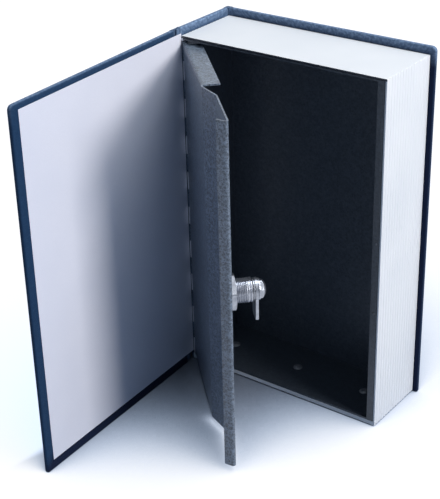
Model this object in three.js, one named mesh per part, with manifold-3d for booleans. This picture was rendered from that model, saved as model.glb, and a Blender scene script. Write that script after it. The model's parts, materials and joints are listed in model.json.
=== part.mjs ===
// A book diversion safe: a cloth-bound case round a white page block, which holds a steel box with a locking
// door. Millimetres, +Z up along the spine, +X from the spine to the fore edge, +Y from the front cover back.
// The origin is on the shelf plane, in the middle of the spine's foot.
// At rest the front cover and the inner door stand open.
import * as THREE from 'three';
import { mergeVertices } from 'three/addons/utils/BufferGeometryUtils.js';
import Module from 'manifold-3d';

const wasm = await Module();
wasm.setup();

// Case: boards wrapped in cloth
const coverHeight = 240;
const coverThickness = 2.8;
const coverHeadRadius = 3.2;
const coverFootRadius = 1.5;
const clothThickness = 0.4;
const paperThickness = 0.5;
const foreOverhang = 3.3;
const jointHalfWidth = 3;
const jointSlit = 0.2;
const headMargin = 3.5;
const backHeadMargin = 7;
const sideMargin = 6;
const footMargin = 6.5;
const spineTurnIn = 15;
const coverOpenAngle = 87.3;

// Page block
const blockWidth = 146;
const blockDepth = 50;
const blockHeight = 234;
const blockLift = 1;
const blockSpineGap = 0.3;
const coverClearance = 0.8;
const shellWall = 1.2;
const shellFoot = 2.6;
const ribPitch = 3.2;
const ribDepth = 0.4;
const ribLandShare = 0.6;

// Steel box
const sheet = 1;
const lipWidth = 6;
const strikeReach = 5.6;
const strikeHeight = 56;
const strikeCentre = 107;
const strikeRivetPitch = 48;
const strikeRivetRadius = 0.6;
const strikeHeadRadius = 1;
const strikeHeadHeight = 0.35;
const strikeClearance = 0.75;
const floorRivetSpineMargin = 18.5;
const floorRivetForeMargin = 22.7;
const floorRivetCount = 3;
const floorRivetRadius = 1.6;
const floorHeadRadius = 3.2;
const floorHeadHeight = 1.2;
const floorTailRadius = 2.8;
const floorTailHeight = 0.8;

// Piano hinge
const knuckleRadius = 1.5;
const knuckleBore = 0.95;
const knuckleCount = 18;
const knuckleGap = 0.3;
const knuckleRollAngle = 270;
const pinRadius = 0.75;
const leafWidth = 13;
const leafCrank = 1.2;
const hingeSetback = 1;
const hingeFootClearance = 0.35;
const hingeHeadClearance = 1.15;

// Door
const doorFootClearance = 0.75;
const doorHeadClearance = 2.15;
const doorForeMargin = 9.75;
const doorRecessWidth = 39.5;
const doorStepWidth = 15;
const doorRecess = 5.7;
const pullFoldAngle = 48;
const pullBendRadius = 1.2;
const stepBendRadius = 2;
const flangeDepth = 11.3;
const flangeBendRadius = 1.5;
const flangeStartGap = 1.5;
const flangeEndGap = 3.2;
const doorOpenAngle = 44.5;

// Cam lock
const lockForeMargin = 26.4;
const bezelRadius = 9.5;
const bezelHeight = 2.4;
const barrelRadius = 7.4;
const barrelFlat = 6.4;
const barrelLength = 14.9;
const plugRadius = 5;
const plugHeadRadius = 6.2;
const plugHeadHeight = 1;
const plugSink = 0.3;
const keywayWidth = 1.6;
const keywayHeight = 6.4;
const tailHalfSide = 3.6;
const tailRoot = 1;
const nutAcross = 20.6;
const nutHeight = 3.4;
const nutTurn = 17;
const washerThickness = 0.8;
const washerRadius = 6.8;
const camThickness = 1.7;
const camLength = 18.5;
const camWidth = 11;
const camHubRadius = 7;
const camTipRadius = 2;
const boltShankRadius = 2;
const boltShankLength = 5;
const boltAcross = 10.4;
const boltFlangeRadius = 6.6;
const boltHeight = 4.7;
const boltDomeAngle = 65;
const waferCount = 5;
const waferPitch = 2.4;
const waferThickness = 0.6;
const waferWidth = 3.4;
const waferHeight = 9;
const waferWindowWidth = 1.9;
const waferWindowHeight = 6.2;
const waferFirst = 1.4;

// Clearances and how finely round forms are cut
const gap = 0.25;
const overrun = 5;
const roundSteps = 24;
const smallSteps = 16;
const bendSteps = 5;
const rollSteps = 12;

// Places that follow from the sizes above
const front = -blockDepth / 2;
const back = blockDepth / 2;
const spineInner = coverThickness / 2;
const blockLeft = spineInner + blockSpineGap;
const blockRight = blockLeft + blockWidth;
const blockTop = blockLift + blockHeight;
const boxLeft = blockLeft + shellWall + gap;
const boxRight = blockRight - shellWall - gap;
const boxBottom = blockLift + shellFoot + gap;
const boxTop = blockTop - shellWall - gap;
const coverAxisX = -coverThickness / 2 + clothThickness / 2;
const coverAxisY = front - coverClearance - coverThickness + clothThickness / 2;
const backAxisY = back + coverThickness - clothThickness / 2 + gap;
const coverReach = blockRight + foreOverhang - coverAxisX;
const boardThickness = coverThickness - 2 * clothThickness - 2 * gap;
const leafThickness = knuckleRadius - knuckleBore;
const rollRadius = (knuckleRadius + knuckleBore) / 2;
const hingeX = boxLeft + sheet + gap + leafThickness - knuckleRadius;
const hingeY = front + hingeSetback;
const hingeFoot = boxBottom + sheet + hingeFootClearance;
const hingeHead = boxTop - sheet - hingeHeadClearance;
const doorEdge = knuckleRadius + knuckleGap;
const doorFace = -hingeSetback;
const doorReach = blockRight - doorForeMargin - hingeX;
const stepEnd = doorReach - doorRecessWidth;
const stepStart = stepEnd - doorStepWidth;
const lockX = blockRight - lockForeMargin - hingeX;
const doorFoot = boxBottom + sheet + doorFootClearance;
const doorHead = boxTop - sheet - doorHeadClearance;
const doorMiddle = (doorFoot + doorHead) / 2;

const parts = new THREE.Group();
const frontCover = new THREE.Group();
frontCover.position.set(coverAxisX, coverAxisY, 0);
frontCover.rotation.z = THREE.MathUtils.degToRad(-coverOpenAngle);
parts.add(frontCover);
const door = new THREE.Group();
door.position.set(hingeX, hingeY, 0);
door.rotation.z = THREE.MathUtils.degToRad(-doorOpenAngle);
parts.add(door);
const lock = new THREE.Group();
lock.position.set(lockX, doorFace + doorRecess, doorMiddle);
door.add(lock);

// Finishes
function finish(color, roughness, metalness) {
  return () => new THREE.MeshStandardMaterial({ color, roughness, metalness });
}
const cloth = finish(0x28415f, 0.8, 0);
const greyBoard = finish(0x8b867c, 0.9, 0);
const whitePaper = finish(0xe6e9f0, 0.7, 0);
const whitePlastic = finish(0xeceff2, 0.5, 0);
const paintedSteel = finish(0x2b3340, 0.45, 0.3);
const zincSteel = finish(0x9aa0a8, 0.35, 0.9);
const chrome = finish(0xc8ccd2, 0.15, 1);
const brass = finish(0xb08d45, 0.35, 0.9);

function add(group, name, solid, material) {
  const mesh = new THREE.Mesh(solid, material());
  mesh.name = name;
  group.add(mesh);
}

// Joining and cutting of closed geometries
function toSolid(geometry) {
  const bare = geometry.clone();
  bare.deleteAttribute('normal');
  bare.deleteAttribute('uv');
  const merged = mergeVertices(bare);
  return new wasm.Manifold(new wasm.Mesh({
    numProp: 3,
    vertProperties: new Float32Array(merged.attributes.position.array),
    triVerts: new Uint32Array(merged.index.array),
  }));
}

function toGeometry(solid) {
  const mesh = solid.getMesh();
  const geometry = new THREE.BufferGeometry();
  geometry.setAttribute('position', new THREE.BufferAttribute(new Float32Array(mesh.vertProperties), 3));
  geometry.setIndex(new THREE.BufferAttribute(new Uint32Array(mesh.triVerts), 1));
  return geometry;
}

function combine(geometries, cuts = []) {
  let solid = toSolid(geometries[0]);
  for (const geometry of geometries.slice(1)) solid = solid.add(toSolid(geometry));
  for (const cut of cuts) solid = solid.subtract(toSolid(cut));
  return toGeometry(solid);
}

// The mirror image of a piece, with its faces still turned outwards
function mirroredInY(geometry) {
  const flipped = geometry.clone().scale(1, -1, 1);
  const order = flipped.index.array;
  for (let i = 0; i < order.length; i += 3) [order[i], order[i + 1]] = [order[i + 1], order[i]];
  flipped.deleteAttribute('normal');
  return flipped;
}

// A block between two corners
function block(x0, x1, y0, y1, z0, z1) {
  const geometry = new THREE.BoxGeometry(x1 - x0, y1 - y0, z1 - z0);
  return geometry.translate((x0 + x1) / 2, (y0 + y1) / 2, (z0 + z1) / 2);
}

// An outline in X and Y raised from z0 to z1
function raise(points, z0, z1) {
  const shape = new THREE.Shape(points);
  const geometry = new THREE.ExtrudeGeometry(shape, { depth: z1 - z0, bevelEnabled: false });
  return geometry.translate(0, 0, z0);
}

// An outline in X and Z carried along Y from y0 to y1
function carryAlongY(points, y0, y1) {
  const turned = points.map((point) => new THREE.Vector2(point.x, -point.y));
  const geometry = raise(turned.reverse(), 0, y1 - y0);
  return geometry.rotateX(-Math.PI / 2).translate(0, y0, 0);
}

// A ring or a disc about the Y axis, from pairs of radius and height that close on themselves or on the axis
function revolve(profile, steps = roundSteps) {
  const points = profile.map(([radius, height]) => new THREE.Vector2(radius, height));
  return new THREE.LatheGeometry(points, steps);
}

function disc(radius, y0, y1, steps = roundSteps) {
  return revolve([[0, y0], [radius, y0], [radius, y1], [0, y1]], steps);
}

function tube(inner, outer, y0, y1, steps = roundSteps) {
  return revolve([[inner, y0], [outer, y0], [outer, y1], [inner, y1], [inner, y0]], steps);
}

// The outline of a thin sheet, half its thickness to each side of a middle line of points and directions
function stripOutline(middle, thickness) {
  const offset = (sign) => middle.map(({ point, along }) => (
    point.clone().add(new THREE.Vector2(-along.y, along.x).multiplyScalar((sign * thickness) / 2))
  ));
  return [...offset(-1), ...offset(1).reverse()];
}

// The middle line of a sheet that is folded at a row of corners, each with its bend radius
function foldLine(corners) {
  const middle = [];
  corners.forEach(({ x, y, radius }, i) => {
    const here = new THREE.Vector2(x, y);
    const before = corners[i - 1];
    const after = corners[i + 1];
    if (!before || !after) {
      const other = before ?? after;
      const along = here.clone().sub(new THREE.Vector2(other.x, other.y)).normalize();
      if (!before) along.negate();
      middle.push({ point: here, along });
      return;
    }
    const arriving = here.clone().sub(new THREE.Vector2(before.x, before.y)).normalize();
    const leaving = new THREE.Vector2(after.x, after.y).sub(here).normalize();
    const turn = Math.atan2(arriving.cross(leaving), arriving.dot(leaving));
    const setback = radius * Math.tan(Math.abs(turn) / 2);
    const side = Math.sign(turn);
    const start = here.clone().addScaledVector(arriving, -setback);
    const inward = new THREE.Vector2(-arriving.y, arriving.x).multiplyScalar(side * radius);
    const centre = start.clone().add(inward);
    for (let step = 0; step <= bendSteps; step += 1) {
      const angle = (turn * step) / bendSteps;
      const along = arriving.clone().rotateAround(new THREE.Vector2(), angle);
      const outward = new THREE.Vector2(along.y, -along.x).multiplyScalar(side * radius);
      middle.push({ point: centre.clone().add(outward), along });
    }
  });
  return middle;
}

function foldedOutline(corners, thickness) {
  return stripOutline(foldLine(corners), thickness);
}

// Case boards: each is a board in a cloth wrap with turned-in borders, drawn closed with its inner side to +Y
// and its spine joint on the Z axis. The wrap is open at the joint, where the cloth runs on to the fold.
function boardOutline(x0, inset) {
  const x1 = coverReach - inset;
  const foot = inset;
  const head = coverHeight - inset;
  const headRadius = coverHeadRadius - inset;
  const footRadius = coverFootRadius - inset;
  const shape = new THREE.Shape();
  shape.moveTo(x0, foot);
  shape.lineTo(x1 - footRadius, foot);
  shape.absarc(x1 - footRadius, foot + footRadius, footRadius, -Math.PI / 2, 0, false);
  shape.lineTo(x1, head - headRadius);
  shape.absarc(x1 - headRadius, head - headRadius, headRadius, 0, Math.PI / 2, false);
  shape.lineTo(x0, head);
  return shape.getPoints(bendSteps);
}

function coverLayers() {
  const outer = -clothThickness / 2;
  const boardOuter = clothThickness / 2 + gap;
  const boardInner = boardOuter + boardThickness;
  const wrapInner = boardInner + gap;
  return { outer, boardOuter, boardInner, wrapInner, inner: wrapInner + clothThickness };
}

function coverCloth(head) {
  const { outer, wrapInner, inner } = coverLayers();
  const wrap = carryAlongY(boardOutline(jointHalfWidth, 0), outer, inner);
  const strip = block(jointSlit, jointHalfWidth + clothThickness, outer, -outer, 0, coverHeight);
  const hollow = carryAlongY(boardOutline(jointHalfWidth - overrun, clothThickness), -outer, wrapInner);
  const window = block(
    jointHalfWidth - overrun, coverReach - sideMargin,
    -outer, inner + overrun, footMargin, coverHeight - head,
  );
  return combine([wrap, strip], [hollow, window]);
}

function coverBoard() {
  const { boardOuter, boardInner } = coverLayers();
  return combine([carryAlongY(boardOutline(jointHalfWidth, clothThickness + gap), boardOuter, boardInner)]);
}

function coverPaper(head) {
  const { wrapInner } = coverLayers();
  return block(
    jointHalfWidth, coverReach - sideMargin - gap,
    wrapInner, wrapInner + paperThickness,
    footMargin + gap, coverHeight - head - gap,
  );
}

// The same piece with its inner side to -Y, set at the back of the block
function atBack(geometry) {
  return mirroredInY(geometry).translate(coverAxisX, backAxisY, 0);
}

add(frontCover, 'front_cover_cloth', coverCloth(headMargin), cloth);
add(frontCover, 'front_cover_board', coverBoard(), greyBoard);
add(frontCover, 'front_endpaper', coverPaper(headMargin), whitePaper);
add(parts, 'back_cover_cloth', atBack(coverCloth(backHeadMargin)), cloth);
add(parts, 'back_cover_board', atBack(coverBoard()), greyBoard);
add(parts, 'back_endpaper', atBack(coverPaper(backHeadMargin)), whitePaper);

// Spine: a narrow board between the two joints, its cloth turned in at head and foot
const spineBoardFront = coverAxisY + jointHalfWidth;
const spineBoardBack = backAxisY - jointHalfWidth;

function spineCloth() {
  const outer = -coverThickness / 2;
  const wrap = block(outer, spineInner, spineBoardFront, spineBoardBack, 0, coverHeight);
  const skin = block(
    outer, outer + clothThickness, coverAxisY + jointSlit, backAxisY - jointSlit, 0, coverHeight,
  );
  const hollow = block(
    outer + clothThickness, spineInner - clothThickness, spineBoardFront - overrun, spineBoardBack + overrun,
    clothThickness, coverHeight - clothThickness,
  );
  const window = block(
    outer + clothThickness, spineInner + overrun, spineBoardFront - overrun, spineBoardBack + overrun,
    spineTurnIn, coverHeight - spineTurnIn,
  );
  return combine([wrap, skin], [hollow, window]);
}

function spineBoard() {
  const edge = clothThickness + gap;
  return block(
    -coverThickness / 2 + edge, spineInner - edge, spineBoardFront, spineBoardBack, edge, coverHeight - edge,
  );
}

add(parts, 'spine_cloth', spineCloth(), cloth);
add(parts, 'spine_board', spineBoard(), greyBoard);

// Floor rivets: domed head on the box floor, tail sunk in the foot of the page block
function floorRivetPlaces() {
  const first = blockLeft + floorRivetSpineMargin;
  const pitch = (blockRight - floorRivetForeMargin - first) / (floorRivetCount - 1);
  return Array.from({ length: floorRivetCount }, (_, i) => first + i * pitch);
}

function upright(geometry, x, y) {
  return geometry.rotateX(Math.PI / 2).translate(x, y, 0);
}

function floorRivet(x) {
  const head = boxBottom + sheet + gap;
  const tail = blockLift + gap;
  const shoulder = head + floorHeadHeight / 2;
  return upright(revolve([
    [0, tail], [floorTailRadius, tail], [floorTailRadius, tail + floorTailHeight],
    [floorRivetRadius, tail + floorTailHeight], [floorRivetRadius, head], [floorHeadRadius, head],
    [floorHeadRadius, head + floorHeadHeight / 4], [(floorHeadRadius + floorRivetRadius) / 2, shoulder],
    [floorRivetRadius, head + floorHeadHeight], [0, head + floorHeadHeight],
  ], smallSteps), x, 0);
}

// Page block: a band round the box, ribbed like page edges on the spine side and the fore edge
function ribbedSide(x, outward, from, to) {
  const count = Math.round(Math.abs(to - from) / ribPitch);
  const pitch = (to - from) / count;
  const points = [];
  for (let i = 0; i < count; i += 1) {
    const start = from + i * pitch;
    points.push(new THREE.Vector2(x, start));
    points.push(new THREE.Vector2(x, start + pitch * ribLandShare));
    points.push(new THREE.Vector2(x - outward * ribDepth, start + (pitch * (1 + ribLandShare)) / 2));
  }
  points.push(new THREE.Vector2(x, to));
  return points;
}

function pageBlockShell() {
  const outline = [...ribbedSide(blockRight, 1, front, back), ...ribbedSide(blockLeft, -1, back, front)];
  const band = raise(outline, blockLift, blockTop);
  const cavity = block(
    boxLeft - gap, boxRight + gap, front - overrun, back + overrun, boxBottom - gap, boxTop + gap,
  );
  const hingeNotch = block(
    blockLeft - overrun, boxLeft, front - overrun, hingeY + knuckleRadius + knuckleGap,
    hingeFoot - knuckleGap, hingeHead + knuckleGap,
  );
  const tailTop = blockLift + gap + floorTailHeight + gap;
  const bores = floorRivetPlaces().flatMap((x) => [
    upright(disc(floorRivetRadius + gap, blockLift - overrun, boxBottom + overrun, smallSteps), x, 0),
    upright(disc(floorTailRadius + gap, blockLift - overrun, tailTop, smallSteps), x, 0),
  ]);
  return combine([band], [cavity, hingeNotch, ...bores]);
}

add(parts, 'page_block_shell', pageBlockShell(), whitePlastic);

// Steel box, open at the front, with a lip along the fore edge
const strikeX = blockRight - lipWidth + gap;
const strikeRivetX = (strikeX + boxRight) / 2;
const strikeRivetPlaces = [strikeCentre - strikeRivetPitch / 2, strikeCentre + strikeRivetPitch / 2];
const strikeFoot = front + sheet + gap;
const washerFace = barrelLength + gap;
const camFace = washerFace + washerThickness + gap;
const strikeBack = front + doorRecess + camFace - strikeClearance;

function standOff(geometry, x, z) {
  return geometry.translate(x, 0, z);
}

function boxBody() {
  const outer = block(boxLeft, boxRight, front, back - gap, boxBottom, boxTop);
  const lipEdge = blockRight - lipWidth;
  const hollow = block(
    boxLeft + sheet, boxRight - sheet, front + sheet, back - gap - sheet, boxBottom + sheet, boxTop - sheet,
  );
  const mouth = block(
    boxLeft + sheet, lipEdge, front - overrun, front + sheet + overrun, boxBottom + sheet, boxTop - sheet,
  );
  const hingeNotch = block(
    boxLeft - overrun, boxLeft + sheet + overrun, front - overrun, hingeY + knuckleRadius + knuckleGap,
    hingeFoot - knuckleGap, hingeHead + knuckleGap,
  );
  const floorBores = floorRivetPlaces().map((x) => (
    upright(disc(floorRivetRadius + gap, boxBottom - overrun, boxBottom + overrun, smallSteps), x, 0)
  ));
  const lipBores = strikeRivetPlaces.map((z) => (
    standOff(disc(strikeRivetRadius + gap, front - overrun, front + overrun, smallSteps), strikeRivetX, z)
  ));
  return combine([outer], [hollow, mouth, hingeNotch, ...floorBores, ...lipBores]);
}

add(parts, 'box_body', boxBody(), paintedSteel);

// Strike: a folded bracket behind the lip, whose rear flange the cam turns behind
function strikeBracket() {
  const outline = foldedOutline([
    { x: boxRight - sheet - gap, y: strikeFoot + sheet / 2 },
    { x: strikeX + sheet / 2, y: strikeFoot + sheet / 2, radius: sheet },
    { x: strikeX + sheet / 2, y: strikeBack - sheet / 2, radius: sheet },
    { x: strikeX - strikeReach, y: strikeBack - sheet / 2 },
  ], sheet);
  const plate = raise(outline, strikeCentre - strikeHeight / 2, strikeCentre + strikeHeight / 2);
  const bores = strikeRivetPlaces.map((z) => (
    standOff(disc(strikeRivetRadius + gap, front, front + overrun, smallSteps), strikeRivetX, z)
  ));
  return combine([plate], bores);
}

function strikeRivet(z) {
  const tail = strikeFoot + sheet + gap;
  return standOff(revolve([
    [0, front - gap / 2 - strikeHeadHeight], [strikeHeadRadius, front - gap / 2 - strikeHeadHeight],
    [strikeHeadRadius, front - gap / 2], [strikeRivetRadius, front - gap / 2],
    [strikeRivetRadius, tail], [strikeHeadRadius, tail],
    [strikeHeadRadius, tail + strikeHeadHeight], [0, tail + strikeHeadHeight],
  ], smallSteps), strikeRivetX, z);
}

add(parts, 'strike_bracket', strikeBracket(), zincSteel);
strikeRivetPlaces.forEach((z, i) => add(parts, `strike_rivet_${i + 1}`, strikeRivet(z), zincSteel));
floorRivetPlaces().forEach((x, i) => add(parts, `floor_rivet_${i + 1}`, floorRivet(x), zincSteel));

// Piano hinge: knuckles shared in turn between the leaf on the box and the leaf on the door, on one pin.
// A leaf is drawn about the pin's axis and runs out along +X. Its knuckles are rolled from the same sheet.
const knuckleLength = (hingeHead - hingeFoot) / knuckleCount;

function knuckleSpans(first) {
  const spans = [];
  for (let i = first; i < knuckleCount; i += 2) {
    const top = hingeHead - i * knuckleLength;
    spans.push([top - knuckleLength + knuckleGap / 2, top - knuckleGap / 2]);
  }
  return spans;
}

function rollLine() {
  const angle = THREE.MathUtils.degToRad(knuckleRollAngle);
  return Array.from({ length: rollSteps }, (_, i) => {
    const along = new THREE.Vector2(-1, 0).rotateAround(new THREE.Vector2(), ((i + 1) * angle) / rollSteps);
    return { point: new THREE.Vector2(along.y, -along.x).multiplyScalar(rollRadius), along };
  });
}

// The corners lead from the flat of the leaf to the top of the roll
function hingeLeaf(first, corners, inset) {
  const line = [...foldLine([...corners, { x: 0, y: rollRadius }]), ...rollLine()];
  const knuckles = knuckleSpans(first).map(([z0, z1]) => raise(stripOutline(line, leafThickness), z0, z1));
  const low = corners[0].y - leafThickness / 2;
  const flat = block(doorEdge, leafWidth, low, low + leafThickness, hingeFoot + inset, hingeHead - inset);
  return combine([flat, ...knuckles]);
}

const leafRoot = doorEdge + leafThickness;
const boxLeaf = mirroredInY(hingeLeaf(1, [{ x: leafRoot, y: rollRadius }], knuckleGap / 2));
add(parts, 'hinge_box_leaf', boxLeaf.rotateZ(Math.PI / 2).translate(hingeX, hingeY, 0), zincSteel);

const doorLeafLevel = sheet - hingeSetback + gap + leafThickness / 2;
const doorLeafInset = doorFoot - hingeFoot + flangeBendRadius + sheet + gap;
add(door, 'hinge_door_leaf', hingeLeaf(0, [
  { x: leafRoot, y: doorLeafLevel },
  { x: doorEdge, y: doorLeafLevel, radius: leafThickness },
  { x: doorEdge - leafCrank, y: rollRadius, radius: leafThickness },
], doorLeafInset), paintedSteel);

const hingePin = upright(
  disc(pinRadius, hingeFoot + knuckleGap, hingeHead - knuckleGap, smallSteps), hingeX, hingeY,
);
add(parts, 'hinge_pin', hingePin, zincSteel);

// Door panel: one sheet with flanges at head and foot, a step to a recessed flat, and a folded pull edge.
// It is drawn closed about the hinge axis, with its outer face to -Y.
const doorSkin = doorFace + sheet / 2;

function doorProfile() {
  const fold = THREE.MathUtils.degToRad(pullFoldAngle);
  const bendReach = pullBendRadius + sheet / 2;
  const foldCorner = doorReach - bendReach + pullBendRadius / Math.tan(fold / 2);
  return foldedOutline([
    { x: doorEdge, y: doorSkin },
    { x: stepStart, y: doorSkin, radius: stepBendRadius },
    { x: stepEnd, y: doorSkin + doorRecess, radius: stepBendRadius },
    { x: foldCorner, y: doorSkin + doorRecess, radius: pullBendRadius },
    { x: foldCorner - doorRecess / Math.tan(fold), y: doorSkin },
  ], sheet);
}

// A flange along the head or the foot, bent inwards by a right angle from the sheet at the given edge
function doorFlange(edge, inward, start, end) {
  const bend = flangeBendRadius + sheet + sheet / 2;
  const outline = foldedOutline([
    { x: doorSkin, y: edge + inward * bend },
    { x: doorSkin, y: edge + (inward * sheet) / 2, radius: flangeBendRadius },
    { x: doorFace + flangeDepth, y: edge + (inward * sheet) / 2 },
  ], sheet);
  const raised = raise(inward > 0 ? outline : outline.reverse(), 0, end - start);
  return raised.rotateZ(Math.PI / 2).rotateY(Math.PI / 2).translate(start, 0, 0);
}

function doorPanel() {
  const start = doorEdge + flangeStartGap;
  const end = stepStart - flangeEndGap;
  const bend = flangeBendRadius + sheet;
  const outside = doorFace - overrun;
  const inside = doorFace + overrun;
  const notches = [
    block(start, end, outside, inside, doorFoot - overrun, doorFoot + bend),
    block(start, end, outside, inside, doorHead - bend, doorHead + overrun),
  ];
  const hole = flattened(barrelRadius + gap, barrelFlat + gap, -overrun, overrun);
  hole.translate(...lock.position.toArray());
  const flanges = [doorFlange(doorFoot, 1, start, end), doorFlange(doorHead, -1, start, end)];
  const notched = combine([raise(doorProfile(), doorFoot, doorHead)], notches);
  return combine([notched, ...flanges], [hole]);
}

// Cam lock, drawn about its own axis on Y, which starts at the recessed flat's outer face and runs inwards

// A round section with a flat above and below, as on the barrel and in the hole that keeps it from turning
function flattened(radius, flat, y0, y1) {
  const slab = block(-radius - overrun, radius + overrun, y0 - overrun, y1 + overrun, -flat, flat);
  return toGeometry(toSolid(disc(radius, y0, y1)).intersect(toSolid(slab)));
}

function hexagon(across, y0, y1, turn) {
  const ring = disc(across / Math.sqrt(3), y0, y1, 6);
  return ring.rotateY(THREE.MathUtils.degToRad(turn));
}

const bezelFront = -gap - bezelHeight;
const plugFront = bezelFront + plugSink;
const nutFace = sheet + gap;

function lockHousing() {
  const bezel = revolve([
    [0, bezelFront], [bezelRadius - bezelHeight / 2, bezelFront], [bezelRadius, bezelFront + bezelHeight / 2],
    [bezelRadius, bezelFront + bezelHeight], [0, bezelFront + bezelHeight],
  ]);
  const barrel = flattened(barrelRadius, barrelFlat, bezelFront + bezelHeight / 2, barrelLength);
  const bore = disc(plugRadius + gap, bezelFront - overrun, barrelLength + overrun);
  const seat = disc(plugHeadRadius + gap, bezelFront - overrun, plugFront + plugHeadHeight + gap);
  return combine([bezel, barrel], [bore, seat]);
}

function lockPlug() {
  const head = disc(plugHeadRadius, plugFront, plugFront + plugHeadHeight);
  const barrel = disc(plugRadius, plugFront + plugHeadHeight / 2, washerFace - gap);
  const tailEnd = camFace + camThickness;
  const tail = block(
    -tailHalfSide, tailHalfSide, washerFace - tailRoot, tailEnd, -tailHalfSide, tailHalfSide,
  );
  const keyway = block(
    -keywayWidth / 2, keywayWidth / 2, plugFront - overrun, waferFirst + waferCount * waferPitch,
    -keywayHeight / 2, keywayHeight / 2,
  );
  const screwDepth = tailEnd - boltShankLength - gap;
  const screwHole = disc(boltShankRadius + gap, screwDepth, tailEnd + overrun, smallSteps);
  const chambers = waferPlaces().map((y) => block(
    -waferWidth / 2 - gap, waferWidth / 2 + gap, y - gap, y + waferThickness + gap,
    -plugRadius - overrun, plugRadius + overrun,
  ));
  return combine([head, barrel, tail], [keyway, screwHole, ...chambers]);
}

// Wafers: flat tumblers that cross the keyway, each with a window for the key
function waferPlaces() {
  return Array.from({ length: waferCount }, (_, i) => waferFirst + i * waferPitch);
}

function wafer(y) {
  const halfWidth = waferWidth / 2;
  const halfHeight = waferHeight / 2;
  const plate = block(-halfWidth, halfWidth, y, y + waferThickness, -halfHeight, halfHeight);
  const window = block(
    -waferWindowWidth / 2, waferWindowWidth / 2, y - overrun, y + overrun,
    -waferWindowHeight / 2, waferWindowHeight / 2,
  );
  return combine([plate], [window]);
}

function squareHole() {
  const side = tailHalfSide + gap;
  return block(-side, side, -overrun, camFace + overrun * 2, -side, side);
}

function camStopWasher() {
  const ring = disc(washerRadius, washerFace, washerFace + washerThickness);
  return combine([ring], [squareHole()]);
}

function lockCam() {
  const half = camWidth / 2;
  const tip = new THREE.Shape();
  tip.moveTo(-half, 0);
  tip.lineTo(-half, camTipRadius - camLength);
  tip.absarc(camTipRadius - half, camTipRadius - camLength, camTipRadius, Math.PI, 1.5 * Math.PI, false);
  tip.absarc(half - camTipRadius, camTipRadius - camLength, camTipRadius, 1.5 * Math.PI, 2 * Math.PI, false);
  tip.lineTo(half, 0);
  const arm = carryAlongY(tip.getPoints(bendSteps), camFace, camFace + camThickness);
  const hub = disc(camHubRadius, camFace, camFace + camThickness);
  return combine([hub, arm], [squareHole()]);
}

// The bolt's head: a hexagon on a round flange, both under one dome
function camBolt() {
  const seat = camFace + camThickness + gap;
  const rim = seat + boltHeight / 4;
  const top = THREE.MathUtils.degToRad(boltDomeAngle);
  const dome = Array.from({ length: bendSteps + 1 }, (_, i) => {
    const angle = (top * i) / bendSteps;
    return [boltFlangeRadius * Math.cos(angle), seat + (boltHeight * Math.sin(angle)) / Math.sin(top)];
  });
  const form = toSolid(revolve([[0, seat], ...dome, [0, seat + boltHeight]]));
  const flats = toSolid(hexagon(boltAcross, seat, seat + boltHeight, nutTurn));
  const head = flats.add(toSolid(disc(boltFlangeRadius, seat, rim))).intersect(form);
  const shank = toSolid(disc(boltShankRadius, seat - boltShankLength, rim, smallSteps));
  return toGeometry(head.add(shank));
}

function lockNut() {
  const body = hexagon(nutAcross, nutFace, nutFace + nutHeight, nutTurn);
  const bore = disc(barrelRadius + gap, nutFace - overrun, nutFace + nutHeight + overrun);
  return combine([body], [bore]);
}

add(door, 'door_panel', doorPanel(), paintedSteel);
add(lock, 'lock_housing', lockHousing(), chrome);
add(lock, 'lock_nut', lockNut(), zincSteel);
add(lock, 'lock_plug', lockPlug(), chrome);
waferPlaces().forEach((y, i) => add(lock, `lock_wafer_${i + 1}`, wafer(y), brass));
add(lock, 'cam_stop_washer', camStopWasher(), zincSteel);
add(lock, 'lock_cam', lockCam(), zincSteel);
add(lock, 'cam_bolt', camBolt(), zincSteel);

export default parts;
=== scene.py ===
"""Looks of a book diversion safe: a cloth-bound case round a white page block that hides a steel box.

Lengths are written in millimetres and become metres when a mesh is made. The origin is on the shelf plane in
the middle of the spine's foot, +Z up along the spine, +X towards the fore edge, +Y towards the back cover.
"""
import json
import math

import bmesh
import bpy
import numpy as np
from mathutils import Matrix, Vector

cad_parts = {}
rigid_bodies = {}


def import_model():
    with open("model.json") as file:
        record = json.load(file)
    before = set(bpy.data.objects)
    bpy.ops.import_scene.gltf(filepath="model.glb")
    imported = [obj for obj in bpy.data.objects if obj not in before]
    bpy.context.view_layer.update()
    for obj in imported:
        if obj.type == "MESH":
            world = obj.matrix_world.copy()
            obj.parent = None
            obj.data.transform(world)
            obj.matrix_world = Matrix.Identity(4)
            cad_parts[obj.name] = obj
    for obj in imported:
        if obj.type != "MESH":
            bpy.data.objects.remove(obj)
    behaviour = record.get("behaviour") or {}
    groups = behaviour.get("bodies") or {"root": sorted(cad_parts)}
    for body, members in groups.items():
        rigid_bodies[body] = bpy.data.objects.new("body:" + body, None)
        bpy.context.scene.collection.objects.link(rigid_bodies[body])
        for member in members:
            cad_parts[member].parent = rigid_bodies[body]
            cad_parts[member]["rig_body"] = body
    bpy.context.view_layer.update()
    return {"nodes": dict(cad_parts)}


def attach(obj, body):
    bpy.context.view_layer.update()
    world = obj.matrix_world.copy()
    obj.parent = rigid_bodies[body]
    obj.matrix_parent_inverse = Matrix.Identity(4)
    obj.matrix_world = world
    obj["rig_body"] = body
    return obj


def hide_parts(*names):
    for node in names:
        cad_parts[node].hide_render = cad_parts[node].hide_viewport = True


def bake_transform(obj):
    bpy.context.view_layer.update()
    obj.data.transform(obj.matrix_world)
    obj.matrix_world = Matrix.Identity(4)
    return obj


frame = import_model()
nodes = frame["nodes"]

MM = 0.001

# Camera, as found from the photograph's edges
CAMERA_PLACE = (480.97, -621.46, 481.74)
CAMERA_RIGHT = (0.8032, 0.59523, -0.02389)
CAMERA_DOWN = (0.25693, -0.38233, -0.88759)
CAMERA_FORWARD = (-0.53746, 0.70677, -0.46002)
FOCAL_LENGTH = 92.52
SENSOR = 36.0

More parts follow.
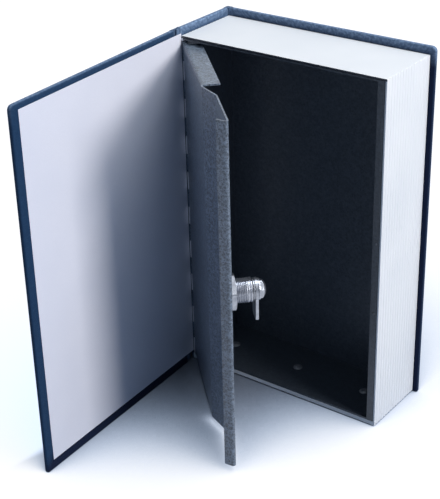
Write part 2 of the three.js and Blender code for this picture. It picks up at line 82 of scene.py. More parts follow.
# Case
COVER_HEIGHT = 240.0
COVER_THICKNESS = 2.8
CLOTH = 0.4
COVER_REACH = 152.2
JOINT_HALF = 3.0
JOINT_CORNER, COVER_HEAD_CORNER, COVER_FOOT_CORNER = 0.9, 3.2, 1.5
COVER_EDGE_ROUND = 0.9
COVER_AXIS = (-1.2, -28.4)
COVER_TURN = math.radians(-87.3)
BACK_AXIS = (-1.2, 27.85)
SPINE_FRONT, SPINE_BACK = -25.4, 24.85
SPINE_FACE = -COVER_THICKNESS / 2

# Loops of the cloth on the flat of a board, by their distance from its edge
FLAT_LOOPS = (14.0, 6.0, 2.2)

# Rubbing of edges and head, the head's lighter colour also a painted highlight, its width in loops, and the
# bands at head and foot with their fades; the foot band marks painted shade
EDGE_RUB, HEAD_RUB_AND_HIGHLIGHT, RUB_LOOPS = 0.05, 0.8, 4.0
HEAD_BAND, HEAD_FADE = 6.0, 5.0
SHADE_FOOT_BAND, SHADE_FOOT_FADE = 8.0, 2.0
FRONT_JOINT_RUB, BACK_JOINT_RUB, TURN_IN_RUB = 0.55, 0.6, 0.5

# Cloth over the joints: reach over the boards, depth under their cloth, dip, bend and number of rows
JOINT_LAP, TUCK = 1.2, 0.02
JOINT_DIP, JOINT_BEND = 0.35, 1.0
JOINT_ROWS = 25

# The front fold: two bodies and two points equally far from the fold line. A piece given it is baked where
# it stands and put on no body
BEND_START, BEND_STOP = SPINE_FRONT - 0.2, 2 * COVER_AXIS[1] - SPINE_FRONT + 0.2
MID_HEIGHT = COVER_HEIGHT / 2
FRONT_FOLD = (
    "case", "front_cover", (0, BEND_START * MM, MID_HEIGHT * MM), (0, BEND_STOP * MM, MID_HEIGHT * MM),
)

# Cloth turned in over the joints: two corners in plan, and the depth of its top under the case's head
BACK_TURN_IN = ((-1.3, 24.5), (2.2, 27.95), 0.1)
FRONT_TURN_IN = ((-0.6, -28.2), (0.9, -24.9), 0.4)
TURN_IN_CORNER = 0.5
# Its loops from the bottom up: depth under its top, and inset
TURN_IN_LOOPS = ((15.0, 0.25), (14.7, 0.0), (0.3, 0.0), (0.09, 0.09), (0.0, 0.3))

# Endpaper, its slow swell, and its flap over the fold
PAPER_SIDE, PAPER_FOOT, PAPER_HEAD = 146.2, 6.75, 236.25
PAPER_FACE, PAPER_THICKNESS, PAPER_GAP = 2.72, 0.35, 0.2
SWELL_HEIGHT, SWELL_RIM = 0.02, 6.0
SWELL_ALONG, SWELL_SLANT, SWELL_UP = 17.0, 41.0, 29.0
FLAP_LAP, FLAP_TUCK, FLAP_THICKNESS = 1.0, 0.05, 0.18
FLAP_BESIDE_BLOCK, FLAP_BEHIND_FRONT = 0.15, 0.3

# Page block and box
BLOCK_LEFT, BLOCK_FRONT = 1.7, -25.0
# Depth and height from which the plastic's front edge is coloured dark
DARK_EDGE_DEPTH, DARK_EDGE_FROM = 0.1, 233.7
FLOOR_RIVETS = (20.2, 72.6, 125.0)
FLOOR_RIVET_SEAT = 4.95
FLOOR_HEAD_RADIUS, FLOOR_HEAD_HEIGHT, FLOOR_HEAD_RIM = 3.2, 1.35, 0.35
STRIKE_RIVETS = ((144.1, 83.0), (144.1, 131.0))
SEAT_SHARES = (0.3, 0.97)
STRIKE_HEAD_RADIUS, STRIKE_HEAD_HEIGHT, STRIKE_HEAD_RIM, STRIKE_HEAD_SINK = 1.0, 0.42, 0.1, 0.02

# Piano hinge
HINGE_AXIS = (3.45, -24.0)
DOOR_TURN = math.radians(-44.5)
ROLL_RADIUS, LEAF_THICKNESS = 1.225, 0.55
KNUCKLE_COUNT, KNUCKLE_GAP = 18, 0.3
HINGE_FOOT, HINGE_HEAD = 5.2, 231.4
LEAF_EDGE, LEAF_WIDTH, LEAF_CRANK, LEAF_START = 1.8, 13.0, 1.2, 0.8
DOOR_LEAF_LEVEL = 0.525
FIXED_LEAF_INSET, DOOR_LEAF_INSET = 0.15, 3.15
LEAF_RIM, ROLL_START = 0.08, 0.1
# The pin's rounded end: radius, and distance from the hinge's end
PIN_END = ((0.3, 0.3), (0.65, 0.4), (0.75, 0.6))

# Lock, measured along its axis from the outer side of the door's flat
LOCK_X, LOCK_Y, LOCK_Z = 117.85, 4.7, 118.0
BARREL_RADIUS, BARREL_FLAT, BARREL_END, THREAD_END = 7.4, 6.4, 14.9, 11.8
THREAD_PITCH, THREAD_DEPTH, THREAD_FADE, THREAD_CREST = 1.0, 0.45, 0.6, 1.35
GROOVE, GROOVE_DEPTH, GROOVE_WIDTH = 13.2, 0.4, 0.28
FLAT_GROWTH, FLAT_RISE = 0.55, 0.4
BARREL_FILLET, NOSE_RADIUS, NOSE_CHAMFER, BORE_RIM = 0.05, 6.5, 0.15, 0.2
BEZEL_FRONT, BEZEL_BACK, BEZEL_RADIUS, BEZEL_ROUND, BEZEL_RIM = -2.65, -0.25, 9.5, 1.3, 0.2
PLUG_SEAT_RADIUS, PLUG_SEAT_DEPTH, PLUG_SEAT_RIM, PLUG_BORE = 6.45, 1.5, 0.25, 5.25
NUT_ACROSS, NUT_BACK, NUT_FRONT, NUT_TURN = 20.6, 1.25, 4.65, math.radians(17)
NUT_CONE_START, NUT_CONE_SLOPE, NUT_PLAY, NUT_BORE_RIM = 0.15, 3.6, 0.15, 0.35
BOLT_ACROSS, BOLT_RADIUS, BOLT_SEAT, BOLT_HEIGHT = 10.4, 6.6, 18.15, 4.7
BOLT_FLANGE, BOLT_RIM, BOLT_STEP, BOLT_DOME_SHARE = 1.2, 0.15, 0.05, 1.1
# The bolt's crown past its sides: shares of the last radius, and heights over it in steps
CROWN_SHARES, CROWN_STEPS, CROWN_STEP = (0.85, 0.6, 0.3, 0.1), (1.0, 2.0, 2.6, 2.8), 0.08
WAFER_COUNT = 5

# Points closer than this, in metres, become one: in a new piece, and in the copy of a CAD node
PIECE_DOUBLES, NODE_DOUBLES = 1e-7, 1e-6

# Copied CAD nodes: faces that turn by less than one angle are joined, edges that turn by more than the
# other are rounded, each to its width
FLAT_ANGLE, EDGE_ANGLE = 0.5, 30.0
BLOCK_EDGE, BOX_EDGE, STRIKE_EDGE, DOOR_EDGE = 0.22, 0.18, 0.15, 0.2
PLUG_EDGE, CAM_EDGE, WASHER_EDGE = 0.08, 0.15, 0.1

# Lamps: place, aim and size in metres, power and tint
KEY_LAMP = ((1.27, -0.06, 0.75), (0.04, -0.06, 0.12), 0.5, 13.0, (1.0, 0.975, 0.95))
TOP_LAMP = ((0.35, 0.35, 1.4), (0.05, -0.03, 0.1), 0.7, 11.5, (0.92, 0.96, 1.0))

# Floor: its half size in metres, the direction in which it looks for open sky, and how far it looks
FLOOR_HALF = 4.0
FLOOR_LEAN, FLOOR_LOOK = (0.42, -0.42, 0.8), 250.0
# The open shares over which it turns white and glows, its full glow, and its glow left of the spine: the
# dimmed glow is a painted shadow, and the glow left of the spine is painted light over it
WHITENING, GLOWING, GLOW_OPEN = (0.35, 0.95), (0.34, 0.95), 0.95
GLOW_EDGE, GLOW_FULL, GLOW_BESIDE = -2.0, -16.0, 0.94

# Surround: its colour and strength, and its dark side with the cosines over which that fades
WORLD_COLOUR, WORLD_STRENGTH = (0.46, 0.71, 1.04, 1.0), 0.16
DARK_SIDE, DARKENING, DARK_SHARE = (0.605, -0.791, 0.087), (0.6, 0.9), 0.05
# The cool tint colours the floor's painted shadow blue.
WHITE, PAINTED_SHADOW_TINT = (1.0, 1.0, 1.0, 1.0), (0.76, 1.0, 1.4, 1.0)


# Places: each turns local millimetre points into the frame of the whole object
def axes_of(local):
    """The three coordinates of local points, each as an array of its own."""
    return np.moveaxis(np.asarray(local, float), -1, 0)


def turned_about(axis, turn, local):
    """Points turned about an upright axis: x = x0 + a cos t - b sin t, y = y0 + a sin t + b cos t."""
    along, across, up = axes_of(local)
    cosine, sine = math.cos(turn), math.sin(turn)
    x = axis[0] + along * cosine - across * sine
    y = axis[1] + along * sine + across * cosine
    return np.stack([x, y, up], -1)


def cover_place(local):
    """The front cover at rest: along the cover, through it, and up, turned about the fold line."""
    return turned_about(COVER_AXIS, COVER_TURN, local)


def back_place(local):
    """The back cover: the same local axes, with the inner side towards the front."""
    along, through, up = axes_of(local)
    return np.stack([BACK_AXIS[0] + along, BACK_AXIS[1] - through, up], -1)


def spine_place(local):
    """The spine: along runs from front to back, through runs from its outer to its inner side."""
    along, through, up = axes_of(local)
    return np.stack([through + SPINE_FACE + CLOTH / 2, along, up], -1)


def door_place(local):
    """The door at rest: along the door, inwards, and up, turned about the hinge pin."""
    return turned_about(HINGE_AXIS, DOOR_TURN, local)


def hinge_place(local):
    """The fixed leaf: the door's axes with the door shut."""
    return turned_about(HINGE_AXIS, 0.0, local)


def lock_place(local):
    """A lathe form about its own third axis, set in the door with that axis pointing inwards."""
    x, y, height = axes_of(local)
    return door_place(np.stack([LOCK_X + x, LOCK_Y + height, LOCK_Z + y], -1))


def stand_at(x, y, z):
    """A lathe form standing upright at a point."""
    return lambda local: np.asarray(local, float) + np.array([x, y, z])


def facing_front(x, y, z):
    """A lathe form whose axis points to the front."""
    def place(local):
        across, above, height = axes_of(local)
        return np.stack([x + across, y - height, z + above], -1)
    return place


# Lines and grids
def line_between(start, stop, steps):
    """Evenly spaced points on a straight line: start (1 - t) + stop t."""
    share = np.linspace(0, 1, steps)[:, None]
    return np.asarray(start, float) * (1 - share) + np.asarray(stop, float) * share


def arc(centre, radius, start, stop, steps):
    """Points on a circle from one angle to another, in degrees: x = x0 + r cos a, y = y0 + r sin a."""
    angle = np.radians(np.linspace(start, stop, steps + 1))
    return np.stack([centre[0] + radius * np.cos(angle), centre[1] + radius * np.sin(angle)], -1)


def travel_along(line):
    """The length of a line up to each of its points: the running sum of its steps."""
    return np.concatenate([[0], np.cumsum(np.linalg.norm(np.diff(line, axis=0), axis=1))])


def left_of(line):
    """The unit directions to the left of a line in plan: its own direction (a, b) turned to (-b, a)."""
    along = np.gradient(line, axis=0)
    along /= np.linalg.norm(along, axis=1)[:, None]
    return np.stack([-along[:, 1], along[:, 0]], -1)


def carried_up(line, heights):
    """A line in plan repeated at each height, as a grid of points."""
    size = (len(heights), len(line))
    plan = np.broadcast_to(line[None], size + (2,))
    level = np.broadcast_to(heights[:, None, None], size + (1,))
    return np.concatenate([plan, level], -1)


def full_turn(steps):
    """Evenly spaced angles once round a circle."""
    return np.arange(steps) * 2 * math.pi / steps


def turned_rings(radius, height, angle):
    """Rings about the third axis: x = r cos a, y = r sin a, at each ring's height."""
    return np.stack(np.broadcast_arrays(radius * np.cos(angle), radius * np.sin(angle), height), -1)


def ring_faces(rings, spots, closed=False, first=0):
    """Quads from each ring of corners to the next, and a face over each open end."""
    count = rings if closed else rings - 1
    ring, spot = np.meshgrid(np.arange(count), np.arange(spots), indexing="ij")
    this, after = ring * spots, (ring + 1) % rings * spots
    beside = (spot + 1) % spots
    quads = np.stack([this + spot, this + beside, after + beside, after + spot], -1)
    faces = (quads.reshape(-1, 4) + first).tolist()
    if not closed:
        last = first + (rings - 1) * spots
        faces.append(list(range(first + spots - 1, first - 1, -1)))
        faces.append(list(range(last, last + spots)))
    return faces


def grid_faces(rows, columns):
    """Quads over an open grid of rows and columns."""
    row, column = np.meshgrid(np.arange(rows - 1), np.arange(columns - 1), indexing="ij")
    corner = row * columns + column
    quads = np.stack([corner, corner + 1, corner + columns + 1, corner + columns], -1)
    return quads.reshape(-1, 4).tolist()


def slab_of(sheet, shift):
    """A closed slab from a grid and the same grid moved by a shift: both faces and the four walls."""
    rows, columns = sheet.shape[:2]
    points = np.concatenate([sheet.reshape(-1, 3), (sheet + shift).reshape(-1, 3)])
    count = rows * columns
    top = grid_faces(rows, columns)
    faces = top + [[corner + count for corner in reversed(face)] for face in top]
    index = np.arange(count).reshape(rows, columns)
    rim = np.concatenate([index[0, :-1], index[:-1, -1], index[-1, :0:-1], index[:0:-1, 0]])
    after = np.roll(rim, -1)
    faces += np.stack([after, rim, rim + count, after + count], -1).tolist()
    return points, faces


# Pieces
def make_piece(
    name, points, faces, body, finish, stands_for=(), uv=None, values=None, sharp=35.0, bend=None,
):
    """A piece from points in millimetres and lists of corners, with a UV map and values at its points."""
    mesh = bpy.data.meshes.new(name)
    mesh.from_pydata((np.asarray(points, float).reshape(-1, 3) * MM).tolist(), [], faces)
    if uv is not None:
        layer = mesh.uv_layers.new(name="threads")
        corners = np.zeros(len(mesh.loops), np.int32)
        mesh.loops.foreach_get("vertex_index", corners)
        layer.data.foreach_set("uv", np.asarray(uv, np.float32).reshape(-1, 2)[corners].ravel())
    for key, value in (values or {}).items():
        layer = mesh.attributes.new(key, "FLOAT", "POINT")
        layer.data.foreach_set("value", np.asarray(value, np.float32).ravel())
    return finish_piece(name, mesh, body, finish, stands_for, sharp, bend)


def finish_piece(name, mesh, body, finish, stands_for, sharp, bend=None):
    """Merges doubles, turns faces outwards, shades smoothly up to sharp edges and puts it on its body, or
    bakes it in place when given a fold.
    """
    form = bmesh.new()
    form.from_mesh(mesh)
    bmesh.ops.remove_doubles(form, verts=form.verts, dist=PIECE_DOUBLES)
    if form.calc_volume(signed=True) < 0:
        bmesh.ops.reverse_faces(form, faces=form.faces)
    form.to_mesh(mesh)
    form.free()
    mesh.polygons.foreach_set("use_smooth", [True] * len(mesh.polygons))
    mesh.set_sharp_from_angle(angle=math.radians(sharp))
    mesh.materials.clear()
    mesh.materials.append(finish)
    piece = bpy.data.objects.new(name, mesh)
    bpy.context.scene.collection.objects.link(piece)
    if bend:
        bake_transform(piece)
    else:
        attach(piece, body)
    if stands_for:
        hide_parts(*stands_for)
    return piece


def edged_copy(node, name, finish, width):
    """A copy of a CAD node with its flat faces merged and its edges rounded by a fine bevel."""
    mesh = nodes[node].data.copy()
    form = bmesh.new()
    form.from_mesh(mesh)
    bmesh.ops.remove_doubles(form, verts=form.verts, dist=NODE_DOUBLES)
    flat = math.radians(FLAT_ANGLE)
    bmesh.ops.dissolve_limit(form, angle_limit=flat, verts=form.verts, edges=form.edges)
    form.to_mesh(mesh)
    form.free()
    piece = finish_piece(name, mesh, nodes[node]["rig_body"], finish, (node,), EDGE_ANGLE)
    bevel = piece.modifiers.new("edge", "BEVEL")
    bevel.width = width * MM
    bevel.segments = 2
    bevel.limit_method = "ANGLE"
    bevel.angle_limit = math.radians(EDGE_ANGLE)
    bevel.harden_normals = True
    return piece


def lathe(name, profile, place, body, finish, stands_for=(), steps=64):
    """A profile of radius and height pairs turned about an axis: x = r cos a, y = r sin a."""
    radius, height = np.asarray(profile, float).T[..., None]
    rings = turned_rings(radius, height, full_turn(steps))
    return make_piece(name, place(rings), ring_faces(len(rings), steps), body, finish, stands_for)


# Finishes
class Nodes:
    """A node tree: nodes are added by kind, and joined by giving a socket as a value."""

    def __init__(self, tree):
        self.tree = tree

    def add(self, kind, values=None, output=0, **settings):
        """A node with settings and inputs, given by name or number. It answers with one of its outputs."""
        node = self.tree.nodes.new(kind)
        for key, value in settings.items():
            setattr(node, key, value)
        for key, value in (values or {}).items():
            self.give(node.inputs[key], value)
        return node.outputs[output]

    def give(self, socket, value):
        """Links a socket to another one, or sets a plain value on it."""
        if isinstance(value, bpy.types.NodeSocket):
            self.tree.links.new(value, socket)
        else:
            socket.default_value = value

    def math(self, operation, a, b=0.0, c=0.0):
        """One step of arithmetic with up to three values."""
        return self.add("ShaderNodeMath", {0: a, 1: b, 2: c}, operation=operation)

    def spread(self, value, low, high, to_low=0.0, to_high=1.0, **settings):
        """The stretch from low to high mapped in proportion to two new ends, and held there beyond it."""
        return self.add("ShaderNodeMapRange", {0: value, 1: low, 2: high, 3: to_low, 4: to_high}, **settings)

    def smooth(self, value, low, high, to_low, to_high):
        """The same stretch mapped by 3 t^2 - 2 t^3, which starts and stops gently."""
        return self.spread(value, low, high, to_low, to_high, interpolation_type="SMOOTHSTEP")

    def mix(self, share, first, second):
        """The first colour at a share of 0, the second at 1."""
        return self.add("ShaderNodeMix", {0: share, 6: first, 7: second}, output=2, data_type="RGBA")

    def tones(self, value, low, high, first, second, most=1.0):
        """The first colour up to a low value, and from there to a high one more and more of the second."""
        return self.mix(self.spread(value, low, high, 0.0, most), first, second)

    def place(self, scale=(1, 1, 1)):
        """Object coordinates in metres, stretched by a scale."""
        where = self.add("ShaderNodeTexCoord", output="Object")
        return self.add("ShaderNodeMapping", {"Vector": where, "Scale": scale})

    def thread_place(self, scale=(1, 1, 1)):
        """The cloth's own map in millimetres along its threads, stretched by a scale."""
        where = self.add("ShaderNodeUVMap", uv_map="threads")
        return self.add("ShaderNodeMapping", {"Vector": where, "Scale": scale})

    def noise(self, where, scale, detail=2.0, roughness=0.5):
        """Soft random clouds, 0 to 1."""
        values = {"Vector": where, "Scale": scale, "Detail": detail, "Roughness": roughness}
        return self.add("ShaderNodeTexNoise", values)

    def bands(self, where, direction, scale, distortion, detail_scale):
        """Waves across one direction, a little bent, as threads are."""
        values = {
            "Vector": where, "Scale": scale, "Distortion": distortion,
            "Detail": 1.0, "Detail Scale": detail_scale,
        }
        return self.add("ShaderNodeTexWave", values, output="Fac", bands_direction=direction)

    def bump(self, height, distance, strength, after=None):
        """Relief from a height, its distance in millimetres, on top of another relief."""
        values = {"Height": height, "Distance": distance * MM, "Strength": strength}
        if after is not None:
            values["Normal"] = after
        return self.add("ShaderNodeBump", values)


class Finish(Nodes):
    """A material with its main shader."""

    def __init__(self, name, roughness, metallic=0.0):
        self.material = bpy.data.materials.new(name)
        self.material.use_nodes = True
        super().__init__(self.material.node_tree)
        self.shader = self.tree.nodes["Principled BSDF"]
        self.set("Roughness", roughness)
        self.set("Metallic", metallic)

    def set(self, key, value):
        """Gives a value or a socket to one input of the shader."""
        self.give(self.shader.inputs[key], value)


def colour(red, green, blue, share=1.0):
    """A colour from display values of 0 to 255, made linear and multiplied by a share."""
    display = np.array([red, green, blue]) / 255
    linear = np.where(display <= 0.04045, display / 12.92, ((display + 0.055) / 1.055) ** 2.4)
    return (*(share * float(value) for value in linear), 1.0)


def book_cloth():
    """Navy book cloth: warp and weft as two crossing waves, and slubs. Edges are lighter where worn, the head
    also by a painted highlight, and turned-in borders are darker by painted shade.
    """
    made = Finish("book_cloth", 0.78)
    threads = made.thread_place()
    waver = made.noise(threads, 0.35, 3)
    warp = made.bands(threads, "X", 0.62, 1.2, 0.6)
    weft = made.bands(threads, "Y", 0.55, 1.4, 0.5)
    weave = made.math("MULTIPLY_ADD", warp, 0.5, made.math("MULTIPLY", weft, 0.5))
    across = made.noise(made.thread_place((0.08, 2.4, 1)), 1.0, 3)
    along = made.noise(made.thread_place((2.4, 0.08, 1)), 1.0, 3)
    slub = made.math("MAXIMUM", across, along)
    tone = made.tones(weave, 0.25, 0.85, colour(18, 43, 70), colour(35, 70, 108))
    tone = made.tones(slub, 0.55, 0.75, tone, colour(50, 82, 116), 0.35)
    tone = made.tones(waver, 0.35, 0.7, tone, colour(20, 45, 75), 0.35)
    # Lighter where rubbed at the edges; along the heads the same lighter colour is also a painted highlight.
    wear_and_highlight = made.add("ShaderNodeAttribute", output="Fac", attribute_name="wear_and_highlight")
    patchy = made.noise(threads, 0.5, 4)
    rubbed = made.math("MULTIPLY", wear_and_highlight, made.spread(patchy, 0.4, 0.65, 0.4, 0.9))
    # Painted shade: the inner borders of the boards turn dark navy where they lie in shade.
    painted_shade = made.add("ShaderNodeAttribute", output="Fac", attribute_name="painted_shade")
    tone = made.mix(painted_shade, tone, colour(0, 17, 48))
    made.set("Base Color", made.mix(rubbed, tone, colour(138, 162, 194)))
    made.set("Roughness", made.spread(weave, 0.2, 0.9, 0.88, 0.7))
    made.set("Specular IOR Level", 0.16)
    made.set("Sheen Weight", 0.05)
    made.set("Sheen Roughness", 0.45)
    made.set("Normal", made.bump(slub, 0.05, 0.5, made.bump(weave, 0.14, 0.6)))
    return made.material


def endpaper():
    """Smooth white paper with faint fibres and a little cockling from the paste."""
    made = Finish("endpaper", 0.62)
    where = made.place()
    fibre = made.noise(where, 1400, 4, 0.7)
    cockle = made.noise(where, 32)
    tone = made.tones(fibre, 0.3, 0.7, colour(230, 231, 243), colour(236, 237, 248))
    made.set("Base Color", made.tones(cockle, 0.35, 0.75, tone, colour(225, 227, 240), 0.5))
    made.set("Normal", made.bump(cockle, 0.35, 0.35, made.bump(fibre, 0.02, 0.4)))
    return made.material


def page_plastic():
    """White moulded plastic with a fine grain and faint clouds. The narrow front edge over the box mouth is
    coloured dark."""
    made = Finish("page_plastic", 0.42)
    where = made.place()
    grain = made.noise(where, 2600, 3)
    cloud = made.noise(where, 18)
    tone = made.tones(cloud, 0.35, 0.7, colour(237, 238, 240), colour(230, 232, 235))
    axes = made.add("ShaderNodeSeparateXYZ", {"Vector": where}).node.outputs
    # The plastic's narrow front edge at the top is coloured dark.
    front = made.math("LESS_THAN", axes["Y"], (BLOCK_FRONT + DARK_EDGE_DEPTH) * MM)
    edge = made.math("MULTIPLY", front, made.math("GREATER_THAN", axes["Z"], DARK_EDGE_FROM * MM))
    made.set("Base Color", made.mix(edge, tone, colour(40, 47, 60)))
    made.set("Roughness", made.spread(grain, 0.3, 0.7, 0.38, 0.52))
    made.set("Normal", made.bump(grain, 0.03, 0.35))
    return made.material


def hammer_paint(name, share, relief):
    """Hammer-finish powder coat: soft cells with raised rims, close tones of blue grey, orange peel.

    The share makes the tones lighter or darker. The relief says how strongly cells and pits stand out: less
    on the box than on the door."""
    made = Finish(name, 0.42)
    where = made.place()
    cell_scale, middle = 620, 0.45
    jitter = made.add("ShaderNodeTexNoise", {"Vector": where, "Scale": 420.0}, output="Color")
    step = made.add("ShaderNodeVectorMath", {0: jitter, "Scale": 0.0012}, operation="SCALE")
    moved = made.add("ShaderNodeVectorMath", {0: where, 1: step}, operation="ADD")
    soft = {"Vector": moved, "Scale": cell_scale, "Smoothness": 0.7}
    hammered = made.add("ShaderNodeTexVoronoi", soft, output="Distance", feature="SMOOTH_F1")
    cell_colour = made.add("ShaderNodeTexVoronoi", {"Vector": moved, "Scale": cell_scale}, output="Color")
    fleck = made.add("ShaderNodeSeparateColor", {"Color": cell_colour})
    drift = made.noise(where, 260)
    peel = made.noise(where, 1500)
    pits = made.noise(where, 1250, 1)
    cell = made.spread(hammered, 0.15, 0.65, middle * (1 - relief), middle + (1 - middle) * relief)
    tone = made.mix(cell, colour(43, 50, 60, share), colour(84, 94, 106, share))
    tone = made.tones(fleck, 0.5, 1.0, tone, colour(104, 116, 132, share), 0.5 * relief)
    tone = made.tones(drift, 0.4, 0.7, tone, colour(48, 58, 72, share), 0.3)
    made.set("Base Color", made.tones(pits, 0.55, 0.63, tone, colour(24, 32, 44, share), 0.7 * relief))
    made.set("Roughness", made.spread(hammered, 0.1, 0.7, 0.34, 0.5))
    made.set("Metallic", 0.15)
    made.set("Coat Weight", 0.25)
    made.set("Coat Roughness", 0.3)
    made.set("Normal", made.bump(peel, 0.03, 0.4, made.bump(hammered, 0.3, 0.9 * relief)))
    return made.material


def zinc():
    """Zinc plate: a faint blue-grey bloom with drawing lines and small dull spots."""
    made = Finish("zinc_plate", 0.34, 0.95)
    where = made.place()
    bloom = made.noise(where, 240, 4)
    lines = made.noise(made.place((1, 1, 0.06)), 2400)
    spots = made.add("ShaderNodeTexVoronoi", {"Vector": where, "Scale": 900}, output="Distance")
    tone = made.tones(bloom, 0.35, 0.7, colour(146, 151, 162), colour(178, 183, 193))
    made.set("Base Color", made.mix(made.spread(spots, 0.0, 0.25, 0.35, 0.0), tone, colour(112, 117, 127)))
    made.set("Roughness", made.spread(lines, 0.3, 0.7, 0.26, 0.4))
    made.set("Normal", made.bump(lines, 0.02, 0.4))
    return made.material


def bare_leaf():
    """The uncoated hinge leaf: pale bright zinc with faint rolling lines."""
    made = Finish("bare_leaf", 0.3, 0.9)
    lines = made.noise(made.place((1, 1, 0.05)), 2200, 3)
    made.set("Base Color", made.tones(lines, 0.3, 0.7, colour(232, 235, 242), colour(246, 248, 252)))
    made.set("Roughness", made.spread(lines, 0.3, 0.7, 0.26, 0.4))
    made.set("Normal", made.bump(lines, 0.02, 0.4))
    return made.material


def dull_rivet():
    """Aluminium rivets gone grey: a patchy oxide film over a soft grain."""
    made = Finish("dull_rivet", 0.6, 0.6)
    film = made.noise(made.place(), 520, 4)
    made.set("Base Color", made.tones(film, 0.35, 0.7, colour(112, 118, 126), colour(142, 147, 155)))
    made.set("Roughness", made.spread(film, 0.3, 0.7, 0.5, 0.72))
    made.set("Normal", made.bump(film, 0.04, 0.4))
    return made.material


def nickel():
    """Satin nickel on the lock: fine turning marks and light scuffs."""
    made = Finish("nickel_plate", 0.2, 1.0)
    where = made.place()
    scuff = made.noise(where, 900, 4, 0.65)
    marks = made.noise(where, 3800, 1)
    made.set("Base Color", made.tones(scuff, 0.4, 0.7, colour(172, 176, 186), colour(150, 155, 166)))
    made.set("Roughness", made.spread(scuff, 0.35, 0.7, 0.3, 0.44))
    made.set("Normal", made.bump(marks, 0.01, 0.3))
    return made.material


def brass():
    """Stamped brass with a dull patina in its hollows."""
    made = Finish("stamped_brass", 0.32, 1.0)
    patina = made.noise(made.place(), 700, 3)
    made.set("Base Color", made.tones(patina, 0.35, 0.7, colour(196, 160, 92), colour(158, 122, 62)))
    made.set("Roughness", made.spread(patina, 0.3, 0.7, 0.25, 0.45))
    made.set("Normal", made.bump(patina, 0.02, 0.4))
    return made.material


def paperboard():
    """Raw grey paperboard with flecks of fibre."""
    made = Finish("paperboard", 0.9)
    fleck = made.noise(made.place(), 1100, 5, 0.7)
    made.set("Base Color", made.tones(fleck, 0.35, 0.7, colour(150, 145, 136), colour(122, 117, 108)))
    made.set("Normal", made.bump(fleck, 0.05, 0.5))
    return made.material


CLOTH_FINISH = book_cloth()
PAPER_FINISH = endpaper()
PLASTIC_FINISH = page_plastic()
DOOR_FINISH = hammer_paint("door_paint", share=1.95, relief=1.0)
PAINT_FINISH = hammer_paint("box_paint", share=0.85, relief=0.35)
ZINC_FINISH = zinc()
LEAF_FINISH = bare_leaf()
RIVET_FINISH = dull_rivet()
NICKEL_FINISH = nickel()
BRASS_FINISH = brass()
BOARD_FINISH = paperboard()


# Case
def rounded_loop(low, high, radius, inset=0.0, steps=6, between=24):
    """A rectangle with rounded corners, drawn in by an inset: a loop of points and their outward directions.

    The radii are those of the joint side, of the head's fore corner and of the foot's fore corner. Each is a
    quarter circle of its radius less the inset, and a sharp corner once the inset is larger. Points are set
    between the corners, so that values given to the points can change along the sides."""
    points, outward = [], []
    corners = (
        (high[0], high[1], 0, radius[1]), (low[0], high[1], 90, radius[0]),
        (low[0], low[1], 180, radius[0]), (high[0], low[1], 270, radius[2]),
    )
    for x, y, start, rounding in corners:
        inward = np.array([-1 if x == high[0] else 1, -1 if y == high[1] else 1])
        ray = arc((0, 0), 1.0, start, start + 90, steps)
        points.append(np.array([x, y]) + inward * max(rounding, inset) + max(rounding - inset, 0) * ray)
        outward.append(ray)
    for corner in range(len(corners) if between else 0):
        here, beyond = points[corner], points[(corner + 1) % len(corners)]
        side = line_between(here[steps], beyond[0], between + 2)[1:-1]
        points[corner] = np.concatenate([here, side])
        outward[corner] = np.concatenate([outward[corner], np.repeat(outward[corner][-1:], between, 0)])
    return np.concatenate(points), np.concatenate(outward)


def cover_skin(name, low, high, corner, place, body, stands_for, head_highlight=0.0, dark=0.0):
    """A board wrapped in cloth: loops of a rounded rectangle, each drawn in by an inset and set at a height.

    Round the outer edge the inset is r (1 - sin t) and the height r (1 - cos t) above the outer face. Round
    the inner edge the inset is r (1 - cos t) and the height r (1 - sin t) below the inner face. The cloth is
    rubbed at its edges by exp(-(n / w)^2) of the loops from the middle one, most of all along its head, where
    that lighter colour is also a painted highlight, to which a broad one can be added. Inside, its border is
    darkened by painted shade at the foot, or all round."""
    outline, ray = rounded_loop(low, high, corner)
    outer, inner = -CLOTH / 2, COVER_THICKNESS - CLOTH / 2
    turn = np.radians(np.linspace(0, 90, 7))
    by_sine, by_cosine = COVER_EDGE_ROUND * (1 - np.sin(turn)), COVER_EDGE_ROUND * (1 - np.cos(turn))
    flat = np.ones(len(FLAT_LOOPS))
    inset = np.concatenate([FLAT_LOOPS, by_sine, by_cosine, FLAT_LOOPS[::-1]])
    height = np.concatenate([outer * flat, outer + by_cosine, inner - by_sine, inner * flat])
    unrolled = travel_along(np.column_stack([inset, height])) - FLAT_LOOPS[0]
    from_middle = np.arange(len(inset)) - (len(inset) - 1) / 2
    rub = np.exp(-((from_middle / RUB_LOOPS) ** 2))[:, None]
    x, z = np.moveaxis(np.stack([rounded_loop(low, high, corner, depth)[0] for depth in inset]), -1, 0)
    local = np.stack(np.broadcast_arrays(x, height[:, None], z), -1)
    head = np.clip((z - high[1] + HEAD_BAND) / HEAD_FADE, 0, 1)
    foot = np.clip((low[1] + SHADE_FOOT_BAND - z) / SHADE_FOOT_FADE, 0, 1)
    inside = np.clip((height - outer) / (inner - outer), 0, 1)[:, None]
    # Rubbing at the edges, with a painted highlight along the head; painted shade on the inner border.
    values = {
        "wear_and_highlight": np.clip(rub * (EDGE_RUB + HEAD_RUB_AND_HIGHLIGHT * head) + head_highlight * head, 0, 1),
        "painted_shade": inside * np.maximum(foot, dark) * (1 - head),
    }
    return make_piece(
        name, place(local), ring_faces(len(inset), len(outline)), body, CLOTH_FINISH, stands_for,
        uv=outline + ray * unrolled[:, None, None], values=values, sharp=60.0,
    )


